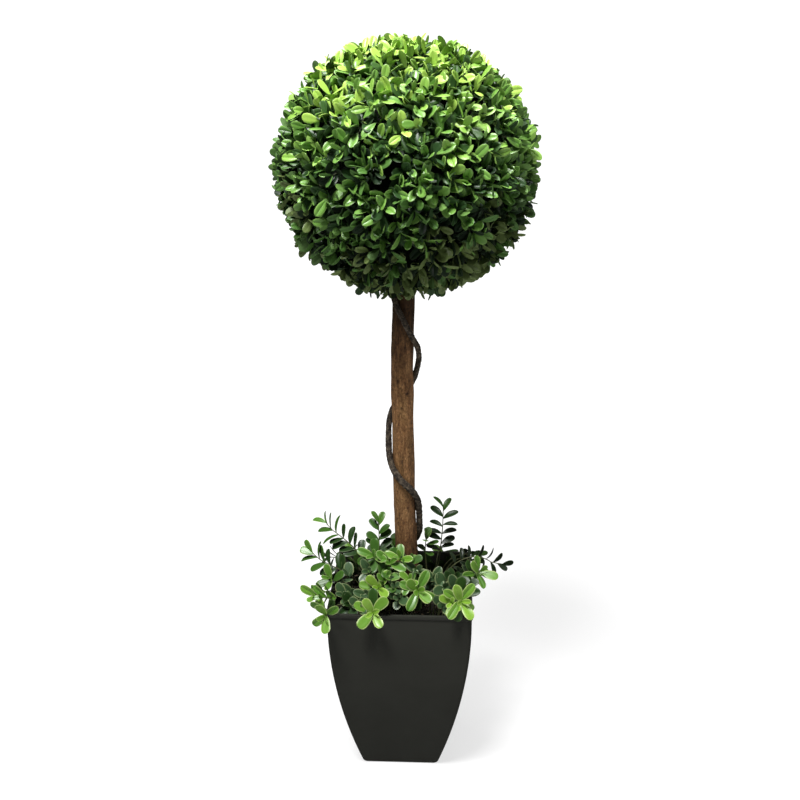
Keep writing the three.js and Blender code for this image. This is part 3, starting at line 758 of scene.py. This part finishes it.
def vine_point(z):
    """The vine's middle at a height. It winds unevenly low down, evenly above, and slack at one height."""
    steady = 2 * pi * (z - VINE.right_height) / VINE.pitch
    sway = VINE.sway * min(1, max(0, (VINE.even_height - z) / VINE.even_spread))
    turn = sway * sin(2 * steady) - steady
    slack = VINE.slack * bell(z - VINE.slack_height, VINE.slack_spread)
    away = trunk_radius(z) + VINE.radius + slack
    return trunk_middle(z) + away * vec(cos(turn), sin(turn), 0)


VINE_LINE = np.array([vine_point(z) for z in np.linspace(FILL_TOP - VINE.sunk, VINE.top, VINE.rows)])


def make_vine():
    rings = []
    for k, (centre, circle) in enumerate(zip(VINE_LINE, circles(VINE_LINE, VINE.around, vec(1, 0, 0)))):
        skin = centre + circle * VINE.skin
        relief = layered_noise(skin / VINE.fibre_size, 3, 13) + noise(skin / VINE.swell_size, 17)
        radius = VINE.radius * (VINE.foot_share - VINE.taper * k / len(VINE_LINE))
        rings.append(centre + circle * (radius + VINE.relief * relief)[:, None])
    finished("vine_twist", ring_solid(rings), [vine_material()], ["vine"])


# ---- Leaves and twigs ----


# Half widths of each outline at these shares of a leaf's length
LEAF_SHARES = [0, 0.08, 0.22, 0.4, 0.6, 0.78, 0.9, 0.97, 1.0]
BLUNT = [0.13, 0.24, 0.56, 0.86, 1.0, 0.96, 0.76, 0.48, 0.18]
SPOON = [0.14, 0.3, 0.6, 0.86, 0.98, 1.0, 0.84, 0.56, 0.22]
ROUND = [0.12, 0.3, 0.68, 0.95, 1.0, 0.9, 0.68, 0.42, 0.18]
SLIM = [0.12, 0.26, 0.56, 0.84, 1.0, 0.95, 0.76, 0.5, 0.2]

BALL_SHARES = [0, 0.2, 0.42, 0.64, 0.83, 0.95, 1]  # rows of points in a leaf of the ball
LEAF_COLUMNS = (-1, -0.8, -0.42, 0, 0.42, 0.8, 1)  # across a leaf, in half widths
BLADE, RIM, UNDER = 0, 1, 2
SHARP_DEGREES = 36


def leaf_shape(outline, width, fold, crown, curl, thick, shares=LEAF_SHARES):
    """A leaf one unit long on +Y, creased along its middle, its halves crowned, with a rim strip. Curl is the
    drop of the tip."""
    top, keel = [], []
    for u in shares:
        half = 0.5 * width * np.interp(u, LEAF_SHARES, outline)
        drop = curl * u * u
        for v in LEAF_COLUMNS:
            lift = half * (fold * abs(v) - crown * v * v)
            top.append((v * half, u, lift + 0.5 * thick * (1 - abs(v) ** 3) - drop))
        keel.append((0, u, -0.5 * thick - drop))
    wide, rows = len(LEAF_COLUMNS), len(shares)
    faces, slots = [], []
    for r in range(rows - 1):
        for c in range(wide - 1):
            a = r * wide + c
            faces.append((a, a + 1, a + wide + 1, a + wide))
            slots.append(RIM if c in (0, wide - 2) else BLADE)
        left, right, under = r * wide, r * wide + wide - 1, rows * wide + r
        faces.append((left, left + wide, under + 1, under))
        faces.append((under, under + 1, right + wide, right))
        slots += [UNDER, UNDER]
    end = (rows - 1) * wide
    faces.append((*range(wide - 1, -1, -1), rows * wide))
    faces.append((*range(end, end + wide), rows * wide + rows - 1))
    slots += [UNDER, RIM]
    return faced(top + keel, faces, slots)


def axes_round(along, roll):
    """An axis at right angles to another, turned about it by roll."""
    start = vec(1, 0, 0) if abs(along[2]) > 0.9 else vec(0, 0, 1)
    across = unit(np.cross(along, start))
    return across * cos(roll) + np.cross(along, across) * sin(roll)


def meets_limb(point, margin, near=9, rows=14):
    """Whether a point is in or beside the stem or the vine, whose rows close to its height are tested."""
    if point[2] > TRUNK_TOP:
        return False
    if hypot(*(point - trunk_middle(point[2]))[:2]) < trunk_radius(point[2]) + margin:
        return True
    if not VINE_LINE[0][2] - near < point[2] < VINE.top + near:
        return False
    row = np.searchsorted(VINE_LINE[:, 2], point[2])
    away = np.linalg.norm(VINE_LINE[max(0, row - rows):row + rows] - point, axis=1)
    return np.min(away) < VINE.radius + margin


def meets_pot(point, margin):
    """Whether a point is in or beside the pot's wall, or under the earth."""
    x, y, z = point
    if z > POT.height + margin:
        return False
    away = max(abs(x), abs(y))
    wall = float(pot_half(z))
    if away < wall - POT.wall - margin:
        return z < FILL_TOP + margin
    return away < wall + POT.lip + margin


def darker(tone, steps):
    """The tone some steps down its ladder."""
    ladder = TONE_LADDERS[tone]
    return ladder[min(steps, len(ladder) - 1)]


class Foliage:
    """Leaves and twigs as they grow, kept by tone until they are joined into pieces. A leaf is kept where all
    its spots fit."""

    def __init__(self, spots):
        self.spots = spots
        self.leaves = {}
        self.twigs = []

    def pair(self, at, along, across, spread, length, tone, cut, fits, twist=0.0, step=0.0):
        """Two opposite leaves that open from a twig by an angle. They face the twig, or with a twist of a
        quarter turn the same way as each other, and may stand a step apart."""
        shown = np.cross(across, along)
        for hand in (1, -1):
            away = across * hand
            leaf_along = along * cos(spread) + away * sin(spread)
            normal = along * sin(spread) - away * cos(spread)
            normal = normal * cos(twist) + shown * sin(twist)
            sideways = np.cross(leaf_along, normal)
            root = at + along * (step * hand - 0.6)
            if all(fits(root + (leaf_along * u + sideways * v) * length) for u, v in self.spots):
                axes = np.array([sideways, leaf_along, normal])
                self.leaves.setdefault(tone, []).append((root, axes, length, cut))

    def leaf_shapes(self, tone, templates):
        shapes = []
        for k, template in enumerate(templates):
            chosen = [leaf for leaf in self.leaves[tone] if leaf[3] == k]
            if chosen:
                places, frames, lengths, _ = (np.array(x) for x in zip(*chosen))
                shapes.append(template.placed(places, frames, lengths))
        return joined(shapes)

    def twig_shapes(self, sides, thin=0.6):
        shapes = []
        for start, end, radius in self.twigs:
            side = axes_round(unit(end - start), 0)
            shapes.append(tube(np.array([start, end]), (radius, radius * thin), sides, side))
        return joined(shapes)


# ---- Ball ----


def ball_share(point):
    away = point - BALL.centre
    return hypot(away[0], away[1], away[2] / BALL.squash) / BALL.reach


def fits_ball(point):
    """Whether a point is in the ball's shell and clear of stem and vine. Leaves may stray out a little, and
    those low on the ball hang lower."""
    low = max(0, BALL.centre[2] - point[2]) / (BALL.reach * BALL.squash)
    most = 1 + SPRAY.stray + BALL.hang * low
    return BALL.core_share < ball_share(point) < most and not meets_limb(point, margin=1)


def painted_light_ball_tone(height, draw):
    """A spray's tone, with chance mixed in: lighter near the top as painted light, olive and deep below as
    painted shade.
    """
    level = height + draw(-TONE_CHANCE, TONE_CHANCE)
    for above, tone in BALL_TONES:
        if level > above:
            return tone
    return "deep"


def grow_spray(foliage, root, along, opening, tone, draw):
    """A twig that forks, with two pairs of leaves on each branch, their angles times an opening."""
    end = root + along * SPRAY.twig * draw(*SPRAY.twig_chance)
    fork = root + (end - root) * SPRAY.fork_at
    across = axes_round(along, draw(0, 2 * pi))
    branches = [(root, end, SPRAY.radius)]
    for k in range(SPRAY.forks):
        turn = 2 * pi * k / SPRAY.forks + draw(-SPRAY.fork_turn, SPRAY.fork_turn)
        away = across * cos(turn) + np.cross(along, across) * sin(turn)
        side = unit(along + away * tan(SPRAY.fork_spread * draw(*SPRAY.fork_chance)))
        tip = fork + side * SPRAY.fork_length * draw(*SPRAY.length_chance)
        branches.append((fork, tip, SPRAY.fork_thin * SPRAY.radius))
    for start, tip, radius in branches:
        roll = draw(0, pi)
        sizes = draw(*SPRAY.leaf_chance, 2)
        spreads = draw(*SPRAY.spread_chance, 2)
        cuts = draw(0, len(BALL_CUTS), 2)
        if meets_limb(tip, margin=3):
            continue
        foliage.twigs.append((start, tip, radius))
        outward = unit(tip - start)
        # the inner pair's darker step is partly older leaves and partly painted shade inside the ball
        for pair, (share, spread, size, steps) in enumerate(BALL_PAIRS):
            side = axes_round(outward, roll + pair * pi / 2)
            foliage.pair(start + (tip - start) * share, outward, side, opening * spread * spreads[pair],
                         BALL_LEAF * size * sizes[pair], darker(tone, steps), int(cuts[pair]), fits_ball)


def make_ball():
    foliage = Foliage(BALL_SPOTS)
    golden = pi * (3 - sqrt(5))
    for k in range(SPRAY.count):
        draw = draws(BALL.seed, k)
        height = 1 - (2 * k + 1) / SPRAY.count
        ring = sqrt(1 - height * height)
        turn = k * golden + draw(-SPRAY.turn, SPRAY.turn)
        outward = vec(ring * cos(turn), ring * sin(turn), height)
        deep = SPRAY.root_share * draw(*SPRAY.root_chance) + BALL.hang * max(0, -height)
        root = BALL.centre + outward * BALL.reach * deep * (1, 1, BALL.squash)
        lean = draw(-1, 1, 3) * 0.5 * SPRAY.lean
        lean[2] += SPRAY.lift + SPRAY.rise * height
        opening = 1 + SPRAY.opening * max(0, height)
        grow_spray(foliage, root, unit(outward + lean), opening, painted_light_ball_tone(height, draw), draw)
    templates = [leaf_shape(BLUNT, *cut, thick=0.034, shares=BALL_SHARES) for cut in BALL_CUTS]
    for tone in sorted(foliage.leaves):
        materials = leaf_materials("ball", tone, (1, 1, 1), BALL_RIM, roughness=0.4)
        shape = foliage.leaf_shapes(tone, templates)
        finished(f"ball_leaves_{tone}", shape, materials, ["ball"], SHARP_DEGREES)
    twig_bark = leaf_material("twig_bark", (0.05, 0.06, 0.02), 0.7)
    finished("ball_twigs", foliage.twig_shapes(sides=3), [twig_bark], ["ball"])


def make_core():
    """The inner ball that the sprays stand out of, open where the stem enters; its near-black colour is
    painted shade.
    """
    angles = round_angles(CORE.columns)
    rings = []
    for polar in np.linspace(CORE.low_angle, CORE.high_angle, CORE.rows):
        level = np.full_like(angles, np.cos(polar))
        out = np.stack([np.sin(polar) * np.cos(angles), np.sin(polar) * np.sin(angles), level], -1)
        rough = 1 + CORE.rough * (layered_noise(out * CORE.cells, 3, 21) - 1)
        reach = rough[:, None] * BALL.reach * BALL.core_share
        rings.append(BALL.centre + out * reach * (1, 1, BALL.squash))
    # near-black: painted shade in the gaps between the sprays
    core = leaf_material("ball_core_painted_shade", (0.004, 0.007, 0.002), 0.9)
    finished("ball_core", ring_solid(rings), [core], ["ball"])


# ---- Sprigs round the foot ----


# A kind of leaf: its outline, width and curl, the size of the pair at the tip, how far the pairs open, from
# the tip down, how far leaves twist to the front, wander and stand apart, and how dark the tip pair starts
SprigLeaf = namedtuple(
    "SprigLeaf", "outline width curl tip_size spreads twist wander step older", defaults=(0, 0.15, 0, 0)
)
SPRIG_LEAVES = {
    "spoon": SprigLeaf(SPOON, 0.49, 0.12, 0.55, (0.42, 0.85, 1.12, 1.28)),
    "round": SprigLeaf(ROUND, 0.62, 0.08, 0.6, (0.42, 0.85, 1.12, 1.28)),
    "slim": SprigLeaf(SLIM, 0.48, 0.26, 0.9, (0.36, 0.78, 0.98), 1.2, 0.45, 3.2, 1),
    "oval": SprigLeaf(SPOON, 0.54, 0.16, 0.85, (0.34, 0.66, 0.85), 1.1, 0.45, 3.0, 1),
}


def bezier(a, b, c, d, t):
    return a * (1 - t) ** 3 + b * 3 * t * (1 - t) ** 2 + c * 3 * t * t * (1 - t) + d * t**3


def facing(degrees_round, degrees_up):
    a, b = radians(degrees_round), radians(degrees_up)
    return vec(cos(a) * cos(b), sin(a) * cos(b), sin(b))


def fits_sprig(point):
    return not meets_limb(point, margin=0.6) and not meets_pot(point, margin=0.5)


def shoot_line(plan):
    """Points along a shoot: up from the earth, over in an arch, and straight on to its tip."""
    face = facing(*plan.face)
    root, tip = vec(*plan.root, FILL_TOP - SPRIG.sunk), vec(*plan.tip)
    knee = tip - face * plan.straight
    span = np.linalg.norm(knee - root)
    low = root + vec(0, 0, SPRIG.low_bow * span + plan.arch)
    high = knee - face * SPRIG.high_bow * span + vec(0, 0, plan.arch)
    line = [bezier(root, low, high, knee, t) for t in np.linspace(0, 1, SPRIG.rows)]
    return np.array(line + [(knee + tip) / 2, tip])


def grow_shoot(foliage, stems, plan, draw):
    """A stem with pairs of leaves, each pair turned from the one before. Leaves low on the stem are darker,
    and the pairs nearest the tip close up."""
    line = shoot_line(plan)
    stems.append(tube(line, np.linspace(SPRIG.radius, SPRIG.tip_radius, len(line)), sides=7))
    gone = np.concatenate([[0], np.cumsum(np.linalg.norm(np.diff(line, axis=0), axis=1))])
    kind = SPRIG_LEAVES[plan.kind]
    first_cut = len(SPRIG_CUTS) * list(SPRIG_LEAVES).index(plan.kind)
    for left in range(plan.pairs):
        place = gone[-1] - left * plan.gap
        at, before, after = (
            vec(*(np.interp(p, gone, line[:, i]) for i in range(3))) for p in (place, place - 2, place + 2)
        )
        along = unit(after - before)
        turn = radians(plan.roll) + draw(-kind.wander, kind.wander)
        if kind.twist:
            front = vec(sin(turn), -cos(turn), SPRIG.shown_up)
            side = unit(np.cross(along, front))
        else:
            side = axes_round(along, turn + radians(SPRIG.pair_turn) * left)
        size = plan.leaf * (kind.tip_size if left == 0 else draw(*SPRIG.size_chance))
        spread = kind.spreads[min(left, len(kind.spreads) - 1)] * draw(*SPRIG.spread_chance)
        cut = first_cut + int(draw(0, len(SPRIG_CUTS)))
        tone = darker(plan.tone, (left + kind.older) // 2)
        twist, step = kind.twist * draw(*SPRIG.twist_chance), kind.step * draw(-1, 1)
        foliage.pair(at, along, side, spread, size, tone, cut, fits_sprig, twist, step)


def make_sprigs():
    foliage = Foliage(SPRIG_SPOTS)
    stems = []
    for k, plans in enumerate(SHOOTS.values()):
        for n, plan in enumerate(plans):
            grow_shoot(foliage, stems, plan, draws(SPRIG.seed, 10 * k + n))
    templates = [
        leaf_shape(kind.outline, kind.width * wide, fold, SPRIG.crown, curl * kind.curl, SPRIG.thick)
        for kind in SPRIG_LEAVES.values()
        for wide, fold, curl in SPRIG_CUTS
    ]
    for tone in sorted(foliage.leaves):
        shape = foliage.leaf_shapes(tone, templates)
        materials = leaf_materials("sprig", tone, SPRIG.strength, 1.0, roughness=0.42)
        finished(f"sprig_leaves_{tone}", shape, materials, list(SHOOTS), SHARP_DEGREES)
    stem = leaf_material("sprig_stem", (0.075, 0.085, 0.03), 0.6)
    finished("sprig_stems", joined(stems), [stem], list(SHOOTS))


# ---- Stage ----


def stage_ring(name, profile, material):
    """A stretch of floor or backdrop turned round the vertical axis from its profile of radii and heights."""
    angles = round_angles(STAGE.around)
    points = [(r * cos(a), r * sin(a), z) for r, z in profile for a in angles]
    ring = new_object(name, faced(points, grid_faces(len(profile), STAGE.around, True)), [material])
    return ring


def make_stage():
    """A pale floor that turns up into a white backdrop all round. Both glow a little, more with distance, so
    that shadows stay pale. Neither shows in gloss, and the backdrop lights nothing."""
    material, nodes = plain_material("floor_pale", (0.3, 0.3, 0.3), 0.9)
    away = nodes.away(STAGE.glow_from, STAGE.glow_to)
    glow = nodes.worked("Math", "MULTIPLY_ADD", away, STAGE.glow_more, STAGE.glow_near).outputs["Value"]
    nodes.shade(Emission_Color=(1, 1, 1, 1), Emission_Strength=glow)
    flat, far, bend = STAGE.flat, STAGE.far, STAGE.bend
    floor = stage_ring("floor", [(STAGE.hole, 0), (STAGE.middle, 0), (flat, 0)], material)
    turns = np.linspace(0, pi / 2, STAGE.curve)
    curve = [(far + bend * sin(a), bend * (1 - cos(a))) for a in turns]
    backdrop = stage_ring("backdrop", [(flat, 0)] + curve + [(far + bend, 3 * bend)], material)
    floor.visible_glossy = False
    backdrop.visible_glossy = False
    backdrop.visible_diffuse = False


def make_lights():
    """A faint white sky and soft lights above."""
    world = bpy.data.worlds.new("studio")
    bpy.context.scene.world = world
    world.use_nodes = True
    sky = world.node_tree.nodes["Background"].inputs
    sky["Color"].default_value = (1, 1, 1, 1)
    sky["Strength"].default_value = SKY
    for name, place, size, power in LIGHTS:
        light = bpy.data.lights.new(name, "AREA")
        light.size = size
        light.energy = power
        lamp = linked(name, light)
        lamp.location = place
        lamp.rotation_euler = (Vector(LIGHT_AIM) - Vector(place)).to_track_quat("-Z", "Y").to_euler()


def make_camera():
    data = bpy.data.cameras.new("camera")
    data.lens = CAMERA.lens
    data.sensor_width = CAMERA.sensor
    camera = linked("camera", data)
    camera.location = [c * MM for c in CAMERA.place]
    camera.rotation_euler = (radians(90 - CAMERA.tilt), 0, radians(CAMERA.turn))
    bpy.context.scene.camera = camera
    bpy.context.scene.view_settings.view_transform = "Standard"


make_camera()
make_stage()
make_lights()
make_pot()
make_fill()
make_litter()
make_trunk()
make_vine()
make_ball()
make_core()
make_sprigs()
